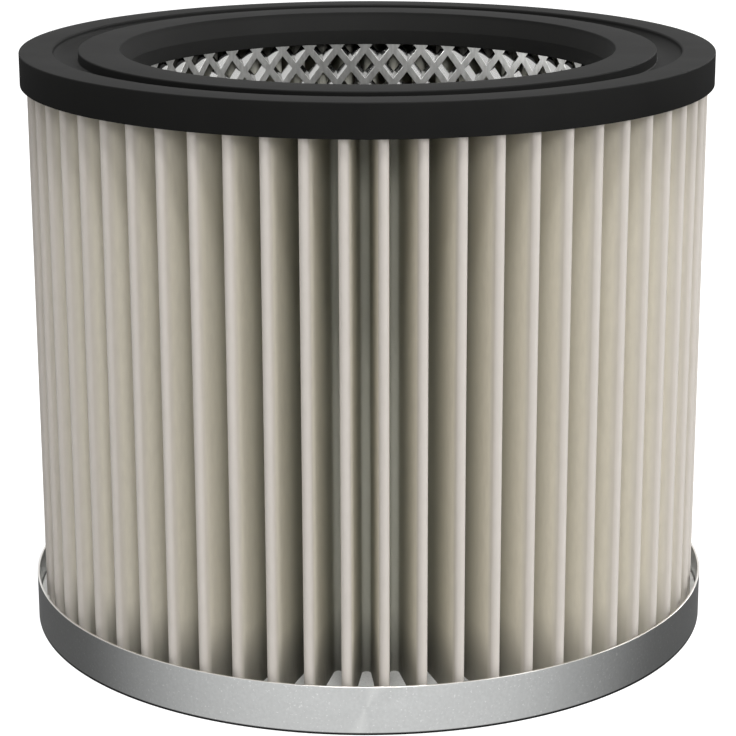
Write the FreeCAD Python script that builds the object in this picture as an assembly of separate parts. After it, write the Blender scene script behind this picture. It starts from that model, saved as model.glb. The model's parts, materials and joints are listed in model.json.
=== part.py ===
import FreeCAD, Part
import math
import os

# Pleated cartridge filter for the fine dust of a vacuum cleaner.
# Millimetres, +Z up. The origin is the centre of the underside of the bottom cap,
# and -Y is the front, where a fold of the paper points inwards.

# Overall height, from the underside of the cap to the top of the ring
overall_height = 119.4

# Moulded sealing ring, from the bore outwards
bore_radius = 48.9
bore_flare = 1.15
land_width = 8.25
groove_width = 5.0
lip_width = 6.7
groove_depth = 2.15
groove_sweep = 3.6
lip_height = 6.55
skirt_drop = 0.45
flare_depth = 3.9
land_edge_radius = 0.35
lip_crest_radius = 0.45
lip_edge_radius = 0.25

# Support core of expanded steel sheet
core_wall = 1.2
core_set_back = 0.1
core_cells_round = 15
core_cell_rise = 11.75
core_strand_width = 3.2
core_opening_rise = 0.8
core_end_flare = 1.1

# Pleated paper
pleat_count = 60
paper_thickness = 0.5
pleat_fold_radius = 0.45
pleat_gap_radius = 0.89
media_clearance = 0.1
tip_inset = 1.45

# Bottom cap of steel sheet
cap_wall = 0.45
cap_height = 9.75
cap_edge_radius = 0.2
cap_clearance = 1.5

# Bed of potting compound in the cap
potting_depth = 4.05
potting_gap = 0.15

# Chords in each rounded edge, in the sweep of the groove, in each pleat's nose and in each inner fold
edge_steps = 2
sweep_steps = 4
nose_steps = 4
gap_steps = 3

# Radii that follow, from the middle outwards
land_inner_radius = bore_radius + bore_flare
groove_inner_radius = land_inner_radius + land_width
groove_outer_radius = groove_inner_radius + groove_width
ring_radius = groove_outer_radius + lip_width
core_flats = 2 * core_cells_round
core_corner = 1.0 / math.cos(math.pi / core_flats)
core_inner_radius = bore_radius + core_set_back
core_outer_radius = (core_inner_radius + core_wall) * core_corner
valley_radius = core_outer_radius + media_clearance
tip_radius = ring_radius - tip_inset
cap_inner_radius = tip_radius + cap_clearance
cap_radius = cap_inner_radius + cap_wall
cap_inner_edge_radius = max(cap_edge_radius - cap_wall, 0.0)

# Heights that follow, from the underside up
potting_top = cap_wall + potting_depth
ring_bottom = overall_height - lip_height
skirt_bottom = ring_bottom - skirt_drop
flare_bottom = overall_height - flare_depth


def arc_points(centre, first, last, steps):
    """Points on the arc about a centre from the direction first to the direction last."""
    axis = first.cross(last).normalize()
    sweep = math.degrees(first.getAngle(last))
    turns = [FreeCAD.Rotation(axis, sweep * i / steps) for i in range(steps + 1)]
    return [centre + turn.multVec(first) for turn in turns]


def outline(corners):
    """Closed wire in the XZ plane through (radius, height, corner radius), with each rounded corner
    drawn as a few chords."""
    points = [FreeCAD.Vector(r, 0, z) for r, z, _ in corners]
    path = []
    for i, (_, _, rounding) in enumerate(corners):
        corner = points[i]
        if rounding == 0:
            path.append(corner)
            continue
        to_last = (points[i - 1] - corner).normalize()
        to_next = (points[(i + 1) % len(points)] - corner).normalize()
        half_angle = to_last.getAngle(to_next) / 2
        reach = rounding / math.tan(half_angle)
        centre = corner + (to_last + to_next).normalize() * (rounding / math.sin(half_angle))
        first = corner + to_last * reach - centre
        last = corner + to_next * reach - centre
        path += arc_points(centre, first, last, edge_steps)
    return Part.makePolygon(path + path[:1])


def turned(corners):
    """Solid of revolution about Z of an outline."""
    return Part.Face(outline(corners)).revolve(FreeCAD.Vector(0, 0, 0), FreeCAD.Vector(0, 0, 1), 360)


def groove_sweep_corners():
    """Quarter of an ellipse from the floor of the groove up to the crest of the lip."""
    reach = min(groove_sweep, groove_width)
    rise = groove_depth - lip_crest_radius
    corners = []
    for step in range(sweep_steps):
        turn = math.pi / 2 * step / sweep_steps
        radius = groove_outer_radius - reach * (1 - math.sin(turn))
        corners.append((radius, overall_height - lip_crest_radius - rise * math.cos(turn), 0))
    return corners


def make_seal_ring():
    """Soft ring cast round the top of the pleats: a land, a groove that sweeps up to an outer lip, and
    an inner skirt that covers the end of the core and flares towards the top."""
    return turned([
        (bore_radius, skirt_bottom, 0),
        (bore_radius, flare_bottom, 0),
        (land_inner_radius, overall_height, land_edge_radius),
        (groove_inner_radius, overall_height, land_edge_radius),
        (groove_inner_radius, overall_height - groove_depth, 0),
        *groove_sweep_corners(),
        (groove_outer_radius, overall_height, lip_crest_radius),
        (ring_radius, overall_height, lip_edge_radius),
        (ring_radius, ring_bottom, 0),
        (core_outer_radius, ring_bottom, 0),
        (core_outer_radius, skirt_bottom, 0),
    ])


def polar(radius, angle):
    """Point in the XY plane, with the angle counted from the front, -Y."""
    return FreeCAD.Vector(radius * math.sin(angle), -radius * math.cos(angle), 0)


def pleat_outline(offset):
    """Closed zigzag of one face of the paper, offset from its outer face towards the core: round
    noses at the tips and round gaps at the inner folds, joined by straight flanks that touch both."""
    half_pitch = math.pi / pleat_count
    nose_radius = pleat_fold_radius + paper_thickness - offset
    gap_radius = pleat_gap_radius + offset
    nose_centre = polar(tip_radius - pleat_fold_radius - paper_thickness, 0)
    gap_centre = polar(valley_radius + paper_thickness + pleat_gap_radius, half_pitch)
    between = gap_centre - nose_centre
    lean = math.asin((nose_radius + gap_radius) / between.Length)
    # The flank's normal is the line between the centres, turned clockwise by a right angle less the lean
    turn = math.atan2(between.y, between.x) - math.pi / 2 + lean
    normal = FreeCAD.Vector(math.cos(turn), math.sin(turn), 0)
    mirrored = FreeCAD.Vector(-normal.x, normal.y, 0)
    axis = FreeCAD.Vector(0, 0, 1)
    into_gap = FreeCAD.Rotation(axis, math.degrees(2 * half_pitch)).multVec(mirrored)
    one_pleat = arc_points(nose_centre, mirrored * nose_radius, normal * nose_radius, nose_steps)
    one_pleat += arc_points(gap_centre, normal * -gap_radius, into_gap * -gap_radius, gap_steps)
    path = []
    for pleat in range(pleat_count):
        place = FreeCAD.Rotation(axis, math.degrees((2 * pleat + 1) * half_pitch))
        path += [place.multVec(point) for point in one_pleat]
    return Part.makePolygon(path + path[:1])


def make_pleated_media():
    """One endless band of paper folded into pleats, from the potting to the ring."""
    faces = [pleat_outline(0), pleat_outline(paper_thickness)]
    section = Part.makeFace(faces, "Part::FaceMakerBullseye")
    section.translate(FreeCAD.Vector(0, 0, potting_top))
    return section.extrude(FreeCAD.Vector(0, 0, ring_bottom - potting_top))


def core_prism(flat_radius):
    """Prism with one flat for each half cell, as the strands between two nodes lie straight."""
    corner_radius = flat_radius * core_corner
    corners = [polar(corner_radius, i * 2 * math.pi / core_flats) for i in range(core_flats + 1)]
    section = Part.Face(Part.makePolygon(corners))
    section.translate(FreeCAD.Vector(0, 0, potting_top))
    return section.extrude(FreeCAD.Vector(0, 0, skirt_bottom - potting_top))


def make_support_core():
    """Tube of expanded sheet: staggered rows of diamonds, each a rhombus of the lattice drawn in
    by half a strand, that rise as they pass through the wall. The end rows of nodes lie just inside
    the cut ends of the sheet."""
    cell_half_width = math.pi * core_outer_radius / core_cells_round
    node_span = skirt_bottom - potting_top - 2 * core_end_flare
    rows = max(round(node_span / core_cell_rise), 2)
    cell_half_height = node_span / rows
    side = math.hypot(cell_half_width, cell_half_height)
    opening = 1 - core_strand_width * side / (2 * cell_half_width * cell_half_height)
    half_width = opening * cell_half_width
    half_height = opening * cell_half_height
    near = core_inner_radius - core_wall
    reach = core_outer_radius + core_wall - near
    rhombus = Part.Face(Part.makePolygon([
        FreeCAD.Vector(-half_width, -near, -core_opening_rise),
        FreeCAD.Vector(0, -near, -core_opening_rise - half_height),
        FreeCAD.Vector(half_width, -near, -core_opening_rise),
        FreeCAD.Vector(0, -near, half_height - core_opening_rise),
        FreeCAD.Vector(-half_width, -near, -core_opening_rise),
    ]))
    cutter = rhombus.extrude(FreeCAD.Vector(0, -reach, reach * core_opening_rise / core_wall))
    cutters = []
    for row in range(rows + 1):
        height = potting_top + core_end_flare + row * cell_half_height
        for cell in range(core_cells_round):
            turn = (cell + 0.5 * (row % 2)) * 360.0 / core_cells_round
            diamond = cutter.copy()
            diamond.rotate(FreeCAD.Vector(0, 0, 0), FreeCAD.Vector(0, 0, 1), turn)
            diamond.translate(FreeCAD.Vector(0, 0, height))
            cutters.append(diamond)
    tube = core_prism(core_inner_radius + core_wall).cut(core_prism(core_inner_radius))
    return tube.cut(Part.makeCompound(cutters)).Solids[0]


def make_bottom_cap():
    """Dish of pressed sheet with an upright rim and a small radius round its bottom edge."""
    return turned([
        (0, 0, 0),
        (cap_radius, 0, cap_edge_radius),
        (cap_radius, cap_height, 0),
        (cap_inner_radius, cap_height, 0),
        (cap_inner_radius, cap_wall, cap_inner_edge_radius),
        (0, cap_wall, 0),
    ])


def make_potting_bed():
    """Cast disc in the cap that holds the lower ends of the pleats and of the core."""
    radius = cap_inner_radius - potting_gap
    return turned([
        (0, cap_wall, 0),
        (radius, cap_wall, cap_inner_edge_radius),
        (radius, potting_top, 0),
        (0, potting_top, 0),
    ])


parts = {
    "seal_ring": make_seal_ring(),
    "pleated_media": make_pleated_media(),
    "support_core": make_support_core(),
    "bottom_cap": make_bottom_cap(),
    "potting_bed": make_potting_bed(),
}

os.makedirs("parts", exist_ok=True)
for name, shape in parts.items():
    shape.exportStep("parts/" + name + ".step")
    print(name, "volume", round(shape.Volume, 1), "valid", shape.isValid(), "solids", len(shape.Solids))
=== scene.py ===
import json
import math

import bmesh
import bpy
import numpy as np
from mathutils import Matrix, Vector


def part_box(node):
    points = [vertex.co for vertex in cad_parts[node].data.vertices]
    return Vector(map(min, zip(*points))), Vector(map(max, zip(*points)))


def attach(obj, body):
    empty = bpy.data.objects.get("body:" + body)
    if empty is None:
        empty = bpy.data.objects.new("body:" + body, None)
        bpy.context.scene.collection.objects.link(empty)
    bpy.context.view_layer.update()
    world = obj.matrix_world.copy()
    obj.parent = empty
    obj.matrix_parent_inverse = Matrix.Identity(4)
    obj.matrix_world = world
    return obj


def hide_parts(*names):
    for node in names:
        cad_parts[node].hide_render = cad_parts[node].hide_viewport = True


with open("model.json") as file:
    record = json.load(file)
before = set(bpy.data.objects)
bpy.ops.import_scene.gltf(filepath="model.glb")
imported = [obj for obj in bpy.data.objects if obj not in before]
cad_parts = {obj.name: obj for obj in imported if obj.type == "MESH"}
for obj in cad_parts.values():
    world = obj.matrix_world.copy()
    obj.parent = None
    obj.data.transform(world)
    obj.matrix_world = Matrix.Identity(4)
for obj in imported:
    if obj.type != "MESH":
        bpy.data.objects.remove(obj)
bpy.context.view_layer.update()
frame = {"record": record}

# Metres in one millimetre, a full turn in radians, and the distance at which points are merged
MM = 0.001
TURN = 2 * math.pi
MERGE = 0.002 * MM

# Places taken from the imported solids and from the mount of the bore
mounts = {mount["name"]: mount for mount in frame["record"]["mounts"]}
ring_low, ring_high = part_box("seal_ring")
media_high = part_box("pleated_media")[1]
cap_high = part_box("bottom_cap")[1]
bed_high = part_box("potting_bed")[1]
BORE_RADIUS = mounts["outlet_bore"]["dims"]["r_mm"] * MM
RING_TOP = ring_high[2]
SKIRT_BOTTOM = ring_low[2]
RING_BOTTOM = media_high[2]
RING_RADIUS = ring_high[0]
CAP_RADIUS = cap_high[0]
CAP_TOP = cap_high[2]
BED_TOP = bed_high[2]

# Turned pieces: steps round the axis, steps along a rounded edge, and the angle in degrees from
# which an edge stays crisp
STEPS_ROUND = 360
BED_STEPS_ROUND = 240
EDGE_STEPS = 8
BED_EDGE_STEPS = 5
TURNED_SHARP = 30

# Sealing ring, from the bore outwards: the flare, the flat land, the groove and the lip. The
# outer side of the groove sweeps up to the lip in a quarter of an ellipse
BORE_FLARE = 1.15 * MM
FLARE_DEPTH = 3.9 * MM
LAND_INNER = BORE_RADIUS + BORE_FLARE
LAND_WIDTH = 8.25 * MM
GROOVE_WIDTH = 5.0 * MM
GROOVE_DEPTH = 2.15 * MM
GROOVE_SWEEP = 3.6 * MM
SWEEP_STEPS = 12
LIP_CREST = 0.45 * MM

# Rounding of the ring's edges
SKIRT_EDGE = 0.2 * MM
FLARE_FOOT = 0.4 * MM
LAND_INNER_EDGE = 0.35 * MM
LAND_OUTER_EDGE = 0.3 * MM
GROOVE_CORNER = 0.3 * MM
RING_TOP_EDGE = 0.25 * MM
RING_LOW_EDGE = 0.1 * MM

# Pleated paper: inner radius of a nose, radius of the gap at an inner fold, and how far from the
# axis the noses and the inner folds reach
PLEATS = 60
PAPER = 0.5 * MM
FOLD_RADIUS = 0.45 * MM
GAP_RADIUS = 0.89 * MM
TIP_RADIUS = RING_RADIUS - 1.36 * MM
VALLEY_RADIUS = 50.6 * MM
NOSE_STEPS = 12
GAP_STEPS = 10
FLANK_STEPS = 6
PAPER_LEVELS = 14
PAPER_SHARP = 40

# Turn of the pleats at their foot, and how much further they turn on the way up, in radians. Both
# come from the places of the noses in the photograph
PLEAT_TURN = -0.0007
PLEAT_TWIST = -0.0016

# Expanded sheet of the core, at the real pitch of its diamonds: height of a diamond from node to
# node, width of a strand, depth of the sheet and bevel of its edges
CELLS_ROUND = 49
CELL_RISE = 7.94 * MM
CELL_SIDE_STEPS = 2
STRAND = 1.42 * MM
CORE_INNER = BORE_RADIUS + 0.1 * MM
CORE_WALL = 1.05 * MM
CORE_OUTER = CORE_INNER + CORE_WALL
CORE_EDGE = 0.02 * MM

# Rise of the openings from the inner to the outer side of the sheet, turn of the first diamond in
# radians, height of the cut end over the first row of nodes, room left at both ends, and rows
# made beyond those that fit, which the cut takes away. Edges stay crisp from a small angle, in
# degrees, so that each sheared wall mirrors as a flat face
CORE_SLANT = 1.68 * MM
CORE_TURN = -0.0432
CORE_CUT = 1.0 * MM
CORE_ROOM = 0.01 * MM
SPARE_ROWS = 3
CORE_SHARP = 15

# Bottom cap. Its wall has many levels, because the brushing turns on it
CAP_WALL = 0.45 * MM
CAP_EDGE = 0.2 * MM
CAP_RIM_EDGE = 0.1 * MM
CAP_INNER = CAP_RADIUS - CAP_WALL
CAP_LEVELS = 19
CAP_LEVEL_MARGIN = 0.5 * MM

# Cast bed, with the room round it
BED_ROOM = 0.15 * MM
BED_LOW_EDGE = 0.1 * MM
BED_TOP_EDGE = 0.15 * MM

# Brushing of the cap: the UV map that carries it, height of the point on the front that it turns
# about, and the middles and the half width of the pale wedges of painted highlight, in turns about
# that point
BRUSHING = "brushing"
BRUSH_HEIGHT = 0.57 * CAP_TOP
HIGHLIGHT_WEDGES = (0.185, -0.29)
HIGHLIGHT_WEDGE_WIDTH = 0.07

# Colours of the ring: the dark and light of its clouds, and the wall and flare of the bore, made
# lighter as painted light
RUBBER_DARK = (0.0067, 0.0067, 0.0064)
RUBBER_LIGHT = (0.0087, 0.0087, 0.0083)
RUBBER_BORE_PAINTED_LIGHT = (0.014, 0.014, 0.0135)

# Colours of the paper, with painted shade for the deep flanks, the inner folds, the foot and the
# top, and a painted shadow of the ring on the inner side
PAPER_DARK = (0.78, 0.737, 0.632)
PAPER_LIGHT = (0.80, 0.754, 0.65)
PAPER_NOSE = (0.615, 0.574, 0.53)
PAPER_DEEP_SHADE = (0.46, 0.45, 0.373)
PAPER_FOLD_SHADE = (0.56, 0.555, 0.485)
PAPER_FIBRE = (0.49, 0.46, 0.40)
PAPER_FOOT_HEAD_SHADE = (0.04, 0.038, 0.033)
PAPER_INSIDE_SHADOW = (0.03, 0.03, 0.028)

# Colours of the core: the dark and light of its rolled faces, its sheared walls, and the painted
# shadow of the ring on the topmost of them
FACE_DARK = (0.33, 0.33, 0.32)
FACE_LIGHT = (0.43, 0.43, 0.42)
SHEARED_WALL = (0.54, 0.54, 0.53)
SKIRT_SHADOW = (0.03, 0.03, 0.03)

# Colours of the cap, with a painted highlight for the wedges and the cut rim, painted glints and a
# painted contact shadow on the lower edge
CAP_DARK = (0.585, 0.595, 0.59)
CAP_LIGHT = (0.65, 0.66, 0.655)
CAP_STREAK = (0.60, 0.61, 0.605)
CAP_WEDGE_HIGHLIGHT = (0.72, 0.73, 0.72)
CAP_PAINTED_GLINT = (0.95, 0.95, 0.95)
CAP_RIM_HIGHLIGHT = (0.88, 0.86, 0.82)
CAP_CONTACT_SHADOW = (0.02, 0.02, 0.02)

# Colours of the cast bed
CAST_DARK = (0.68, 0.68, 0.66)
CAST_LIGHT = (0.76, 0.76, 0.74)
CAST_SPECK = (0.40, 0.40, 0.385)

# White ground: half its side in metres, its grey, and the lift that only the camera sees
FLOOR_HALF = 4.0
FLOOR_GREY = 0.5
FLOOR_ROUGHNESS = 0.9
FLOOR_LIFT = 0.7

# Light of the surroundings: the tent that gloss mirrors, in front, behind, high up and straight
# below, and the soft light that falls from the left and from the right
TENT_FRONT = 0.97
TENT_BEHIND = 0.12
TENT_HIGH = 0.95
TENT_BELOW = 0.05
SOFT_LEFT = 0.23
SOFT_RIGHT = 0.46

# Lamps: name, degrees from the front, degrees upwards, size in metres, watts
LAMP_DISTANCE = 1.6
LAMPS = [
    ("key", 0, 68, 0.3, 11.8),
    ("overhead", 0, 88, 0.5, 12),
    ("front", 6, 30, 0.5, 4.1),
    ("right", 50, 25, 0.5, 4.8),
    ("side", 90, 20, 0.5, 4.2),
    ("back", 140, 25, 0.5, 4.5),
]

# Panels that show in the gloss of one piece alone, given as the lamps are: four for the core,
# three of them on the left, and one on the right for the ring
CORE_PANELS = [
    ("core_left", -25, 16, 0.6, 8),
    ("core_side", -62, 16, 0.7, 12),
    ("core_far", -92, 16, 0.8, 55),
    ("core_right", 62, 16, 0.9, 6),
]
RING_PANEL = ("ring_panel", 45, 25, 0.6, 6)

# Camera, fitted to the photograph: metres, radians and millimetres, and shares of the frame
CAMERA_PLACE = (0.00432, -0.4713, 0.18762)
CAMERA_TILT = math.radians(90 - 15.256)
CAMERA_LENS = 114.05
CAMERA_SENSOR = 36
CAMERA_SHIFT = (-0.0285, -0.0495)
CAMERA_NEAR = 0.01


def unit(vector):
    """The vector at a length of 1."""
    return vector / np.linalg.norm(vector)


def angle_of(vector):
    """Angle of a flat vector from X."""
    return math.atan2(vector[1], vector[0])


def on_circle(angles):
    """Points of the unit circle at the angles."""
    return np.stack([np.cos(angles), np.sin(angles)], -1)


def spun(points, turn):
    """Flat points turned about the axis, by one angle or by a column of angles."""
    x = np.cos(turn) * points[..., 0] - np.sin(turn) * points[..., 1]
    y = np.sin(turn) * points[..., 0] + np.cos(turn) * points[..., 1]
    return np.stack([x, y], -1)


def shade(mesh, sharp_degrees):
    """Smooth shading, with edges sharper than the angle kept crisp."""
    mesh.shade_smooth()
    mesh.set_sharp_from_angle(angle=math.radians(sharp_degrees))


def mesh_piece(name, points, faces, sharp_degrees):
    """Mesh object from an array of points and an array of quads, with doubles merged, normals
    outward and edges sharper than the angle kept crisp."""
    mesh = bpy.data.meshes.new(name)
    mesh.from_pydata(points.reshape(-1, 3).tolist(), [], faces.tolist())
    shape = bmesh.new()
    shape.from_mesh(mesh)
    bmesh.ops.remove_doubles(shape, verts=shape.verts, dist=MERGE)
    bmesh.ops.recalc_face_normals(shape, faces=shape.faces)
    shape.to_mesh(mesh)
    shape.free()
    shade(mesh, sharp_degrees)
    piece = bpy.data.objects.new(name, mesh)
    bpy.context.scene.collection.objects.link(piece)
    return piece


def quads(rows, columns, wrap_rows, wrap_columns):
    """Indices of the quads between neighbours on a grid, wrapped round where asked."""
    r = np.arange(rows if wrap_rows else rows - 1)[:, None]
    c = np.arange(columns if wrap_columns else columns - 1)[None, :]
    r_next = (r + 1) % rows
    c_next = (c + 1) % columns
    corners = [
        r * columns + c,
        r_next * columns + c,
        r_next * columns + c_next,
        r * columns + c_next,
    ]
    return np.stack([np.broadcast_to(k, (r.size, c.size)) for k in corners], -1).reshape(-1, 4)


def rounded(corners, steps):
    """Closed profile through (radius, height, rounding): each rounded corner is an arc that
    touches both of its sides, sampled at even angles."""
    path = []
    places = np.array([corner[:2] for corner in corners], float)
    for i, (_, _, rounding) in enumerate(corners):
        here = places[i]
        if rounding == 0:
            path.append(here)
            continue
        back = unit(places[i - 1] - here)
        on = unit(places[(i + 1) % len(corners)] - here)
        half = math.acos(np.clip(back @ on, -1, 1)) / 2
        centre = here + unit(back + on) * rounding / math.sin(half)
        first = here + back * rounding / math.tan(half)
        last = here + on * rounding / math.tan(half)
        begin = angle_of(first - centre)
        sweep = (angle_of(last - centre) - begin + math.pi) % TURN - math.pi
        angles = begin + sweep * np.linspace(0, 1, steps + 1)
        path += list(centre + rounding * on_circle(angles))
    return np.array(path)


def turned(name, profile, steps_round, closed=True):
    """Surface of revolution: point (u, v) is the profile's point v turned about Z by the angle u.
    A profile that starts and ends on the axis isn't closed."""
    angles = TURN * np.arange(steps_round) / steps_round
    x = np.sin(angles)[:, None] * profile[None, :, 0]
    y = -np.cos(angles)[:, None] * profile[None, :, 0]
    z = np.broadcast_to(profile[None, :, 1], x.shape)
    faces = quads(steps_round, len(profile), True, closed)
    return mesh_piece(name, np.stack([x, y, z], -1), faces, TURNED_SHARP)


def make_ring():
    """Moulded ring: the outline of its section, with soft edges, turned about the axis. The sweep
    of the groove goes out with the sine and up with the cosine of an angle from 0 to 90 degrees."""
    groove_inner = LAND_INNER + LAND_WIDTH
    groove_outer = groove_inner + GROOVE_WIDTH
    groove_floor = RING_TOP - GROOVE_DEPTH
    turns = np.linspace(0, math.pi / 2, SWEEP_STEPS + 1)[:-1]
    sweep_radii = groove_outer - GROOVE_SWEEP * (1 - np.sin(turns))
    sweep_heights = RING_TOP - LIP_CREST - (GROOVE_DEPTH - LIP_CREST) * np.cos(turns)
    section = rounded([
        (BORE_RADIUS, SKIRT_BOTTOM, SKIRT_EDGE),
        (BORE_RADIUS, RING_TOP - FLARE_DEPTH, FLARE_FOOT),
        (LAND_INNER, RING_TOP, LAND_INNER_EDGE),
        (groove_inner, RING_TOP, LAND_OUTER_EDGE),
        (groove_inner, groove_floor, GROOVE_CORNER),
        *[(radius, height, 0) for radius, height in zip(sweep_radii, sweep_heights)],
        (groove_outer, RING_TOP, LIP_CREST),
        (RING_RADIUS, RING_TOP, RING_TOP_EDGE),
        (RING_RADIUS, RING_BOTTOM, RING_LOW_EDGE),
        (CORE_OUTER, RING_BOTTOM, 0),
        (CORE_OUTER, SKIRT_BOTTOM, 0),
    ], EDGE_STEPS)
    return turned("moulded_ring", section, STEPS_ROUND)


def pleat_profile(offset):
    """One face of the folded paper, offset from its outer face towards the core: an arc round
    each nose, an arc round each inner fold, and straight flanks that touch both arcs. One pleat
    is worked out and repeated evenly round the axis."""
    half = math.pi / PLEATS
    nose_radius = FOLD_RADIUS + PAPER - offset
    gap_radius = GAP_RADIUS + offset
    nose = np.array([0.0, -(TIP_RADIUS - FOLD_RADIUS - PAPER)])
    gap_distance = VALLEY_RADIUS + PAPER + GAP_RADIUS
    gap = gap_distance * np.array([math.sin(half), -math.cos(half)])
    between = gap - nose
    lean = math.asin((nose_radius + gap_radius) / np.linalg.norm(between))
    turn = angle_of(between) - math.pi / 2 + lean
    nose_arc = nose + nose_radius * on_circle(np.linspace(-math.pi - turn, turn, NOSE_STEPS + 1))
    gap_angles = np.linspace(turn + math.pi, 2 * half - turn, GAP_STEPS + 1)
    gap_arc = gap + gap_radius * on_circle(gap_angles)
    along = np.linspace(0, 1, FLANK_STEPS + 1)[1:-1, None]
    down = nose_arc[-1] + (gap_arc[0] - nose_arc[-1]) * along
    next_nose = spun(nose_arc[0], 2 * half)
    up = gap_arc[-1] + (next_nose - gap_arc[-1]) * along
    pleat = np.concatenate([nose_arc, down, gap_arc, up])
    places = (np.arange(PLEATS) + 0.5) * TURN / PLEATS
    return spun(pleat, places[:, None]).reshape(-1, 2)


def make_pleats():
    """Folded paper: the outer face carried up from the bed to the ring and the inner face carried
    down again, closed round both ends. Each level is turned a little further than the one below."""
    levels = np.linspace(BED_TOP, RING_BOTTOM, PAPER_LEVELS)
    walls = []
    for face, heights in ((pleat_profile(0), levels), (pleat_profile(PAPER), levels[::-1])):
        turn = PLEAT_TURN + PLEAT_TWIST * (heights[:, None] - BED_TOP) / (RING_BOTTOM - BED_TOP)
        flat = spun(face, turn)
        z = np.broadcast_to(heights[:, None, None], (*flat.shape[:2], 1))
        walls.append(np.concatenate([flat, z], -1))
    points = np.concatenate(walls)
    faces = quads(points.shape[0], points.shape[1], True, True)
    return mesh_piece("pleated_paper", points, faces, PAPER_SHARP)


def make_lattice():
    """Expanded sheet at its real pitch. Each cell is a rhombus with the half diagonals a round the
    axis and b upwards, and with a smaller rhombus cut through it. Point (s, t) goes round the
    outlines with s and over the inner face, the wall of the opening and the outer face with t.
    Each row lies b lower and half a cell further round, and all of it rises with the radius by
    the slant. The ends are cut straight."""
    half_turn = math.pi / CELLS_ROUND
    mean_radius = (CORE_INNER + CORE_OUTER) / 2
    a = half_turn * mean_radius
    b = CELL_RISE / 2
    opening = 1 - STRAND * math.hypot(a, b) / (2 * a * b)
    edge = CORE_EDGE / min(a, b)
    scale = np.array([1, opening + edge, opening, opening, opening + edge, 1])
    radius = np.array([CORE_INNER, CORE_INNER, CORE_INNER + CORE_EDGE,
                       CORE_OUTER - CORE_EDGE, CORE_OUTER, CORE_OUTER])
    corners = np.array([[1, 0], [0, 1], [-1, 0], [0, -1], [1, 0]], float)
    steps = np.linspace(0, 1, CELL_SIDE_STEPS, endpoint=False)[:, None]
    outline = np.concatenate([corners[i] + (corners[i + 1] - corners[i]) * steps for i in range(4)])
    first_node = SKIRT_BOTTOM - CORE_CUT
    row = np.arange(-1, int((first_node - BED_TOP) / b) + SPARE_ROWS)
    cell = np.arange(CELLS_ROUND)
    turn_at = (cell[None, :] * 2 + (row[:, None] % 2) + 1) * half_turn + CORE_TURN
    height_at = first_node - row * b
    turn = turn_at[:, :, None, None] + half_turn * outline[:, 0][:, None] * scale[None, :]
    rise = np.broadcast_to(b * outline[:, 1][:, None] * scale[None, :], turn.shape)
    slant = CORE_SLANT * (radius - CORE_INNER) / (CORE_OUTER - CORE_INNER)
    height = height_at[:, None, None, None] + rise + slant
    reach = np.broadcast_to(radius[None, None, None, :], turn.shape)
    points = np.stack([reach * np.sin(turn), -reach * np.cos(turn), height], -1)
    patch = quads(len(outline), len(scale), True, False)
    shifts = np.arange(row.size * cell.size) * len(outline) * len(scale)
    faces = (patch[None] + shifts[:, None, None]).reshape(-1, 4)
    piece = mesh_piece("expanded_core", points, faces, CORE_SHARP)
    cut_ends(piece.data, SKIRT_BOTTOM - CORE_ROOM, BED_TOP + CORE_ROOM)
    shade(piece.data, CORE_SHARP)
    return piece


def cut_ends(mesh, top, bottom):
    """Cuts the mesh straight at two heights and closes the cuts."""
    shape = bmesh.new()
    shape.from_mesh(mesh)
    for level, outwards in ((top, 1), (bottom, -1)):
        everything = shape.verts[:] + shape.edges[:] + shape.faces[:]
        bmesh.ops.bisect_plane(shape, geom=everything, plane_co=(0, 0, level),
                               plane_no=(0, 0, outwards), clear_outer=True)
        open_edges = [edge for edge in shape.edges if edge.is_boundary]
        bmesh.ops.holes_fill(shape, edges=open_edges, sides=0)
    bmesh.ops.recalc_face_normals(shape, faces=shape.faces)
    shape.to_mesh(mesh)
    shape.free()


def make_cap():
    """Pressed dish: a thin section with a rounded bottom edge and a rounded rim, turned."""
    levels = np.linspace(CAP_LEVEL_MARGIN, CAP_TOP - CAP_LEVEL_MARGIN, CAP_LEVELS)
    section = rounded([
        (0, 0, 0),
        (CAP_RADIUS, 0, CAP_EDGE),
        *[(CAP_RADIUS, height, 0) for height in levels],
        (CAP_RADIUS, CAP_TOP, CAP_RIM_EDGE),
        (CAP_INNER, CAP_TOP, CAP_RIM_EDGE),
        (CAP_INNER, CAP_WALL, CAP_RIM_EDGE),
        (0, CAP_WALL, 0),
    ], EDGE_STEPS)
    return turned("pressed_cap", section, STEPS_ROUND, closed=False)


def make_bed():
    """Cast disc in the cap, with rounded edges, turned."""
    radius = CAP_INNER - BED_ROOM
    section = rounded([
        (0, CAP_WALL, 0),
        (radius, CAP_WALL, BED_LOW_EDGE),
        (radius, BED_TOP, BED_TOP_EDGE),
        (0, BED_TOP, 0),
    ], BED_EDGE_STEPS)
    return turned("cast_bed", section, BED_STEPS_ROUND, closed=False)


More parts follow.
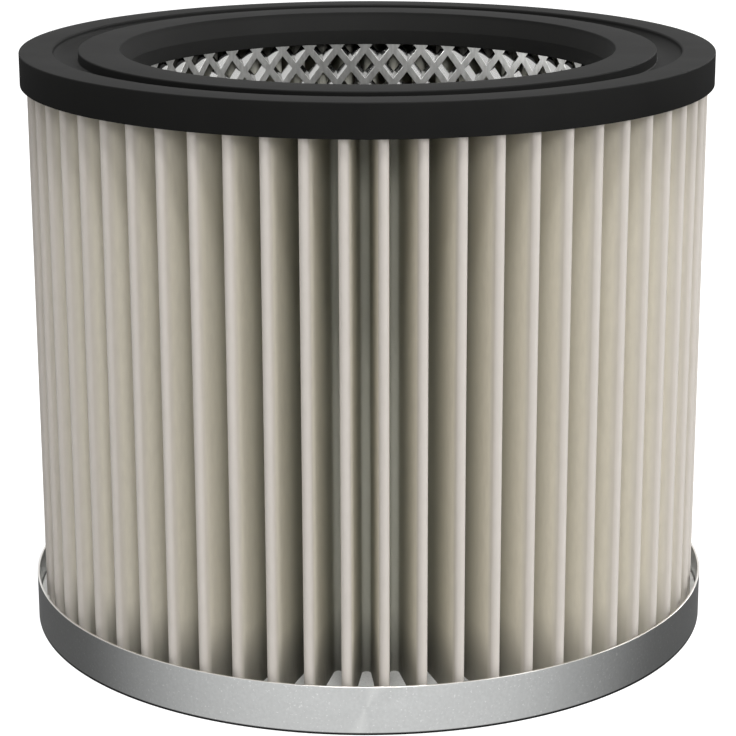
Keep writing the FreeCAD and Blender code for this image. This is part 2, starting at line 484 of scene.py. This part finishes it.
class Finish:
    """A node material with short calls for adding and linking its nodes."""

    def __init__(self, name):
        self.material = bpy.data.materials.new(name)
        self.material.use_nodes = True
        self.tree = self.material.node_tree
        self.shader = self.tree.nodes["Principled BSDF"]
        coordinates = self.add("ShaderNodeTexCoord")
        self.place = coordinates.outputs["Object"]
        self.normal = coordinates.outputs["Normal"]

    def add(self, kind, **settings):
        """New node. A setting is one of the node's own, or else an input of that name."""
        node = self.tree.nodes.new(kind)
        for key, value in settings.items():
            if hasattr(node, key):
                setattr(node, key, value)
            else:
                node.inputs[key.replace("_", " ")].default_value = value
        return node

    def link(self, output, target):
        self.tree.links.new(output, target)

    def set(self, **values):
        """Puts values on the shader's own sockets."""
        for key, value in values.items():
            self.shader.inputs[key.replace("_", " ")].default_value = value

    def feed(self, **outputs):
        """Links outputs to the shader's own sockets."""
        for key, output in outputs.items():
            self.link(output, self.shader.inputs[key.replace("_", " ")])

    def noise(self, per_metre, detail, stretch=(1, 1, 1)):
        """Noise from 0 to 1, drawn out along an axis where its stretch is below 1."""
        mapping = self.add("ShaderNodeMapping", Scale=stretch)
        self.link(self.place, mapping.inputs["Vector"])
        noise = self.add("ShaderNodeTexNoise", Scale=per_metre, Detail=detail)
        self.link(mapping.outputs["Vector"], noise.inputs["Vector"])
        return noise.outputs["Fac"]

    def reach(self):
        """Distance from the axis."""
        flat = self.add("ShaderNodeVectorMath", operation="MULTIPLY")
        flat.inputs[1].default_value = (1, 1, 0)
        self.link(self.place, flat.inputs[0])
        length = self.add("ShaderNodeVectorMath", operation="LENGTH")
        self.link(flat.outputs["Vector"], length.inputs[0])
        return length.outputs["Value"]

    def facing_out(self):
        """How far the surface faces away from the axis: the normal along the place."""
        facing = self.add("ShaderNodeVectorMath", operation="DOT_PRODUCT")
        self.link(self.normal, facing.inputs[0])
        self.link(self.place, facing.inputs[1])
        return facing.outputs["Value"]

    def along(self, axis):
        """Distance from the origin along X, Y or Z."""
        split = self.add("ShaderNodeSeparateXYZ")
        self.link(self.place, split.inputs[0])
        return split.outputs[axis]

    def span(self, value, low, high, start=0.0, end=1.0):
        """Goes evenly from low, where the value is at the start, to high, where it is at the end,
        and stays there beyond them."""
        ramp = self.add("ShaderNodeMapRange", From_Min=start, From_Max=end, To_Min=low, To_Max=high)
        self.link(value, ramp.inputs["Value"])
        return ramp.outputs["Result"]

    def combine(self, operation, first, second):
        """Result of a sum on two values, each a float or an output."""
        node = self.add("ShaderNodeMath", operation=operation)
        for socket, value in zip(node.inputs, (first, second)):
            if isinstance(value, float):
                socket.default_value = value
            else:
                self.link(value, socket)
        return node.outputs[0]

    def total(self, first, second):
        return self.combine("ADD", first, second)

    def product(self, first, second):
        return self.combine("MULTIPLY", first, second)

    def blend(self, share, first, second):
        """The first colour where the share is 0, the second where it is 1."""
        mix = self.add("ShaderNodeMix", data_type="RGBA")
        self.link(share, mix.inputs[0])
        for socket, colour in ((mix.inputs[6], first), (mix.inputs[7], second)):
            if isinstance(colour, tuple):
                socket.default_value = (*colour, 1)
            else:
                self.link(colour, socket)
        return mix.outputs[2]

    def patches(self, noise, dark, light, start=0.35, end=0.65):
        """Dark patches where the noise is low, light ones where it is high, soft between them."""
        return self.blend(self.span(noise, 0, 1, start, end), dark, light)

    def bump(self, height, distance, strength):
        bump = self.add("ShaderNodeBump", Strength=strength, Distance=distance)
        self.link(height, bump.inputs["Height"])
        self.feed(Normal=bump.outputs["Normal"])


def ring_rubber():
    """Black moulded rubber: matt, with a very fine grain and faint cloudy patches. The wall and the
    flare of the bore are a little lighter in colour: painted light."""
    finish = Finish("ring_rubber")
    finish.set(Specular_IOR_Level=0.08)
    clouds = finish.noise(per_metre=60, detail=4)
    # Painted light: the bore's wall and flare get a lighter rubber colour
    bore_painted_light = finish.span(finish.reach(), 1, 0, LAND_INNER - 0.3 * MM, LAND_INNER)
    colour = finish.patches(clouds, RUBBER_DARK, RUBBER_LIGHT)
    colour = finish.blend(bore_painted_light, colour, RUBBER_BORE_PAINTED_LIGHT)
    finish.feed(Base_Color=colour, Roughness=finish.span(clouds, 0.6, 0.68, 0.3, 0.7))
    grain = finish.noise(per_metre=2500, detail=2)
    finish.bump(grain, distance=0.02 * MM, strength=0.35)
    return finish.material


def filter_paper():
    """Beige filter paper: short soft fibres and a faint flow of tone along the folds. The noses are
    darker than the flanks. Painted shade darkens the flanks near the core and the inner folds, the
    foot, most of it on the left, and the top, off the noses. The inner side is dark below the ring,
    a painted shadow of the ring."""
    finish = Finish("filter_paper")
    finish.set(Roughness=0.85, Specular_IOR_Level=0.2)
    fibres = finish.noise(per_metre=900, detail=5, stretch=(1, 1, 0.35))
    flow = finish.noise(per_metre=45, detail=3, stretch=(1, 1, 0.12))
    reach = finish.reach()
    up = finish.along("Z")
    off_nose = finish.span(reach, 1, 0, TIP_RADIUS - 2.2 * MM, TIP_RADIUS - 0.4 * MM)
    # Painted shade: the flanks deep in the pleats and the inner folds are darker
    deep_shade = finish.span(reach, 1, 0, TIP_RADIUS - 13 * MM, TIP_RADIUS - 3 * MM)
    fold_shade = finish.span(reach, 1, 0, VALLEY_RADIUS + 1.2 * MM, VALLEY_RADIUS + 2.6 * MM)
    # Painted shade at the foot, stronger on the left, and just under the ring, kept off the noses
    foot = finish.span(up, 0.75, 0, BED_TOP + 0.5 * MM, BED_TOP + 13 * MM)
    leftwards = finish.span(finish.along("X"), 1, 0.5, 0, 0.8 * TIP_RADIUS)
    head = finish.span(up, 0, 0.32, RING_BOTTOM - 3 * MM, RING_BOTTOM)
    foot_head_shade = finish.product(finish.total(finish.product(foot, leftwards), head), off_nose)
    sheet = finish.blend(deep_shade, finish.patches(flow, PAPER_DARK, PAPER_LIGHT), PAPER_DEEP_SHADE)
    sheet = finish.blend(fold_shade, sheet, PAPER_FOLD_SHADE)
    sheet = finish.blend(foot_head_shade, sheet, PAPER_FOOT_HEAD_SHADE)
    sheet = finish.blend(off_nose, PAPER_NOSE, sheet)
    # Painted shadow of the ring on the inner side of the paper below it
    inside = finish.span(finish.facing_out(), 1, 0, -0.012, 0)
    ring_shadow_below = finish.span(up, 0, 0.9, SKIRT_BOTTOM - 5.5 * MM, SKIRT_BOTTOM - 2.5 * MM)
    sheet = finish.blend(finish.product(inside, ring_shadow_below), sheet, PAPER_INSIDE_SHADOW)
    tips = finish.span(fibres, 0, 0.16, 0.35, 0.7)
    finish.feed(Base_Color=finish.blend(tips, sheet, PAPER_FIBRE))
    finish.bump(fibres, distance=0.05 * MM, strength=0.3)
    return finish.material


def core_sheet():
    """Galvanised sheet of the core: dull rolled faces with a fine grain, and bright sheared walls
    in the openings, which mirror what they face. The ring's shadow is painted dark on the topmost
    walls, reaching further down with the square of the depth in the sheet."""
    finish = Finish("core_steel")
    grain = finish.noise(per_metre=1500, detail=3, stretch=(1, 1, 0.25))
    reach = finish.reach()
    sheared = finish.span(reach, 0, 1, CORE_INNER + 0.02 * MM, CORE_INNER + 0.08 * MM)
    depth = finish.span(reach, 0, 1, CORE_INNER, CORE_OUTER)
    # Painted shadow of the ring's skirt on the topmost walls, lower where the sheet is deeper
    shadow_line = finish.total(finish.product(finish.product(depth, depth), 1.5 * MM), finish.along("Z"))
    shadow_end = SKIRT_BOTTOM - 0.8 * MM
    skirt_shadow = finish.span(shadow_line, 0, 1, shadow_end - 0.2 * MM, shadow_end)
    face = finish.patches(grain, FACE_DARK, FACE_LIGHT)
    wall = finish.blend(skirt_shadow, SHEARED_WALL, SKIRT_SHADOW)
    finish.feed(
        Base_Color=finish.blend(sheared, face, wall),
        Roughness=finish.span(sheared, 0.36, 0.14),
        Metallic=finish.span(sheared, 0.8, 1.0),
    )
    return finish.material


def cap_sheet():
    """Brushed sheet of the cap: fine speckle and upright streaks, small painted glints, a painted
    highlight on the cut rim, a painted contact shadow on the lower edge, and a sheen that turns
    about a point on the front, with two pale wedges of painted highlight."""
    finish = Finish("cap_steel")
    finish.set(Metallic=1.0, Roughness=0.28, Anisotropic=0.7)
    speckle = finish.noise(per_metre=1600, detail=2)
    streaks = finish.noise(per_metre=500, detail=2, stretch=(1, 1, 0.03))
    painted_glints = finish.noise(per_metre=2300, detail=1)
    up = finish.along("Z")
    colour = finish.patches(speckle, CAP_DARK, CAP_LIGHT, 0.3, 0.7)
    colour = finish.blend(finish.span(streaks, 0, 0.5, 0.3, 0.7), colour, CAP_STREAK)
    marks = finish.add("ShaderNodeUVMap", uv_map=BRUSHING)
    turns = finish.add("ShaderNodeSeparateXYZ")
    finish.link(marks.outputs["UV"], turns.inputs[0])
    # Painted highlight: two pale wedges about the point on the front
    for middle in HIGHLIGHT_WEDGES:
        off = finish.combine("SUBTRACT", turns.outputs["X"], middle)
        away = finish.combine("ABSOLUTE", off, 0.0)
        colour = finish.blend(finish.span(away, 0.8, 0, 0, HIGHLIGHT_WEDGE_WIDTH), colour, CAP_WEDGE_HIGHLIGHT)
    # Painted glints: small bright specks
    colour = finish.blend(finish.span(painted_glints, 0, 0.5, 0.66, 0.74), colour, CAP_PAINTED_GLINT)
    # Painted highlight along the cut rim at the top of the wall
    rim_highlight = finish.span(up, 0, 1, CAP_TOP - 0.12 * MM, CAP_TOP - 0.04 * MM)
    colour = finish.blend(rim_highlight, colour, CAP_RIM_HIGHLIGHT)
    # Painted contact shadow along the lower edge
    contact_shadow = finish.span(up, 1, 0, 0.42 * MM, 0.6 * MM)
    colour = finish.blend(contact_shadow, colour, CAP_CONTACT_SHADOW)
    direction = finish.add("ShaderNodeTangent", direction_type="UV_MAP", uv_map=BRUSHING)
    finish.feed(Base_Color=colour, Tangent=direction.outputs["Tangent"])
    return finish.material


def potting_compound():
    """Pale grey cast compound with fine dark specks."""
    finish = Finish("potting_compound")
    finish.set(Roughness=0.6, Specular_IOR_Level=0.4)
    speckle = finish.noise(per_metre=2200, detail=2)
    clouds = finish.noise(per_metre=150, detail=4)
    base = finish.patches(clouds, CAST_DARK, CAST_LIGHT)
    specks = finish.span(speckle, 0, 0.35, 0.45, 0.75)
    finish.feed(Base_Color=finish.blend(specks, base, CAST_SPECK))
    finish.bump(speckle, distance=0.04 * MM, strength=0.4)
    return finish.material


def brush_marks(piece):
    """UV map whose U lines run round a point on the front of the wall, so that the brushing of
    the sheet turns about it: U is the angle about that point, in turns, and V the distance from
    it in cap radii. U doesn't jump within a face."""
    mesh = piece.data
    layer = mesh.uv_layers.new(name=BRUSHING)
    corners = np.empty(len(mesh.loops), int)
    mesh.loops.foreach_get("vertex_index", corners)
    points = np.empty(len(mesh.vertices) * 3)
    mesh.vertices.foreach_get("co", points)
    points = points.reshape(-1, 3)[corners]
    along = np.arctan2(points[:, 0], -points[:, 1]) * CAP_RADIUS
    up = points[:, 2] - BRUSH_HEIGHT
    turns = np.arctan2(up, along) / TURN
    first = np.empty(len(mesh.polygons), int)
    sides = np.empty(len(mesh.polygons), int)
    mesh.polygons.foreach_get("loop_start", first)
    mesh.polygons.foreach_get("loop_total", sides)
    turns -= np.round(turns - np.repeat(turns[first], sides))
    uv = np.stack([turns, np.hypot(along, up) / CAP_RADIUS], -1)
    layer.data.foreach_set("uv", uv.ravel())


def dress(piece, material, node):
    """Gives a piece its finish and puts it in the place of its solid."""
    piece.data.materials.append(material)
    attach(piece, "root")
    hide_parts(node)


def make_floor():
    """White ground that keeps the object's shadow: its own shading, and a lift that only the
    camera sees, which brings the lit part to white. Gloss looks through it at the tent."""
    mesh = bpy.data.meshes.new("floor")
    corners = [(x * FLOOR_HALF, y * FLOOR_HALF, 0) for x, y in ((-1, -1), (1, -1), (1, 1), (-1, 1))]
    mesh.from_pydata(corners, [], [(0, 1, 2, 3)])
    floor = bpy.data.objects.new("floor", mesh)
    bpy.context.scene.collection.objects.link(floor)
    ground = Finish("white_floor")
    ground.set(
        Base_Color=(FLOOR_GREY, FLOOR_GREY, FLOOR_GREY, 1),
        Roughness=FLOOR_ROUGHNESS,
        Specular_IOR_Level=0,
        Emission_Color=(1, 1, 1, 1),
    )
    path = ground.add("ShaderNodeLightPath")
    ground.feed(Emission_Strength=ground.product(path.outputs["Is Camera Ray"], FLOOR_LIFT))
    unseen = ground.add("ShaderNodeBsdfTransparent")
    mix = ground.add("ShaderNodeMixShader")
    ground.link(path.outputs["Is Glossy Ray"], mix.inputs[0])
    ground.link(ground.shader.outputs[0], mix.inputs[1])
    ground.link(unseen.outputs[0], mix.inputs[2])
    ground.link(mix.outputs[0], ground.tree.nodes["Material Output"].inputs["Surface"])
    mesh.materials.append(ground.material)


def make_world():
    """Plain soft light all round, weaker from the left. The camera sees white, and what gloss
    mirrors is a white tent: bright in front and high up, dark low down behind and straight
    below."""
    world = bpy.data.worlds.new("tent")
    bpy.context.scene.world = world
    world.use_nodes = True
    tree = world.node_tree
    nodes, links = tree.nodes, tree.links
    nodes.clear()
    path = nodes.new("ShaderNodeLightPath")
    direction = nodes.new("ShaderNodeTexCoord").outputs["Generated"]
    split = nodes.new("ShaderNodeSeparateXYZ")
    links.new(direction, split.inputs[0])

    def span(value, start, end, low, high):
        """Goes from low, where the value is at the start, to high, where it is at the end, with
        soft ends."""
        node = nodes.new("ShaderNodeMapRange")
        node.interpolation_type = "SMOOTHSTEP"
        limits = {"From Min": start, "From Max": end, "To Min": low, "To Max": high}
        for key, amount in limits.items():
            node.inputs[key].default_value = amount
        links.new(value, node.inputs["Value"])
        return node.outputs["Result"]

    def mix(share, first, second):
        """The first value where the share is 0, the second where it is 1."""
        node = nodes.new("ShaderNodeMix")
        node.data_type = "FLOAT"
        links.new(share, node.inputs[0])
        for socket, value in ((node.inputs[2], first), (node.inputs[3], second)):
            if isinstance(value, float):
                socket.default_value = value
            else:
                links.new(value, socket)
        return node.outputs[0]

    low_down = span(split.outputs["Y"], 0.4, -1.05, TENT_BEHIND, TENT_FRONT)
    high_up = span(split.outputs["Z"], -0.1, 0.3, 0, 1)
    off_ground = span(split.outputs["Z"], -0.98, -0.75, TENT_BELOW, 1)
    mirrored = nodes.new("ShaderNodeMath")
    mirrored.operation = "MULTIPLY"
    links.new(mix(high_up, low_down, TENT_HIGH), mirrored.inputs[0])
    links.new(off_ground, mirrored.inputs[1])
    soft = span(split.outputs["X"], -1, 0.3, SOFT_LEFT, SOFT_RIGHT)
    seen = mix(path.outputs["Is Glossy Ray"], soft, mirrored.outputs[0])
    strength = mix(path.outputs["Is Camera Ray"], seen, 1.0)
    back = nodes.new("ShaderNodeBackground")
    back.inputs["Color"].default_value = (1, 1, 1, 1)
    links.new(strength, back.inputs["Strength"])
    output = nodes.new("ShaderNodeOutputWorld")
    links.new(back.outputs[0], output.inputs["Surface"])


def make_lamp(name, turn, rise, size, watts):
    """Square soft lamp that faces the middle of the object, at an angle from the front and an
    angle upwards."""
    lamp = bpy.data.lights.new(name, "AREA")
    lamp.size = size
    lamp.energy = watts
    holder = bpy.data.objects.new(name, lamp)
    turn, rise = math.radians(turn), math.radians(rise)
    out = LAMP_DISTANCE * math.cos(rise)
    height = RING_TOP / 2 + LAMP_DISTANCE * math.sin(rise)
    holder.location = (out * math.sin(turn), -out * math.cos(turn), height)
    holder.rotation_euler = (math.pi / 2 - rise, 0, turn)
    bpy.context.scene.collection.objects.link(holder)
    return holder


def make_panel(piece, lamp):
    """Lamp that shows only in the gloss of one piece."""
    holder = make_lamp(*lamp)
    holder.visible_diffuse = False
    lit = bpy.data.collections.new(holder.name)
    lit.objects.link(piece)
    holder.light_linking.receiver_collection = lit


def make_camera():
    """Camera at the photograph's place, with its lens moved sideways and up as its framing is."""
    camera = bpy.data.cameras.new("camera")
    camera.sensor_width = CAMERA_SENSOR
    camera.lens = CAMERA_LENS
    camera.shift_x, camera.shift_y = CAMERA_SHIFT
    camera.clip_start = CAMERA_NEAR
    holder = bpy.data.objects.new("camera", camera)
    holder.location = CAMERA_PLACE
    holder.rotation_euler = (CAMERA_TILT, 0, 0)
    bpy.context.scene.collection.objects.link(holder)
    bpy.context.scene.camera = holder


ring = make_ring()
pleats = make_pleats()
core = make_lattice()
cap = make_cap()
bed = make_bed()
brush_marks(cap)
dress(ring, ring_rubber(), "seal_ring")
dress(pleats, filter_paper(), "pleated_media")
dress(core, core_sheet(), "support_core")
dress(cap, cap_sheet(), "bottom_cap")
dress(bed, potting_compound(), "potting_bed")

make_floor()
make_world()
for lamp in LAMPS:
    make_lamp(*lamp)
for panel in CORE_PANELS:
    make_panel(core, panel)
make_panel(ring, RING_PANEL)
make_camera()

scene = bpy.context.scene
scene.view_settings.view_transform = "Standard"
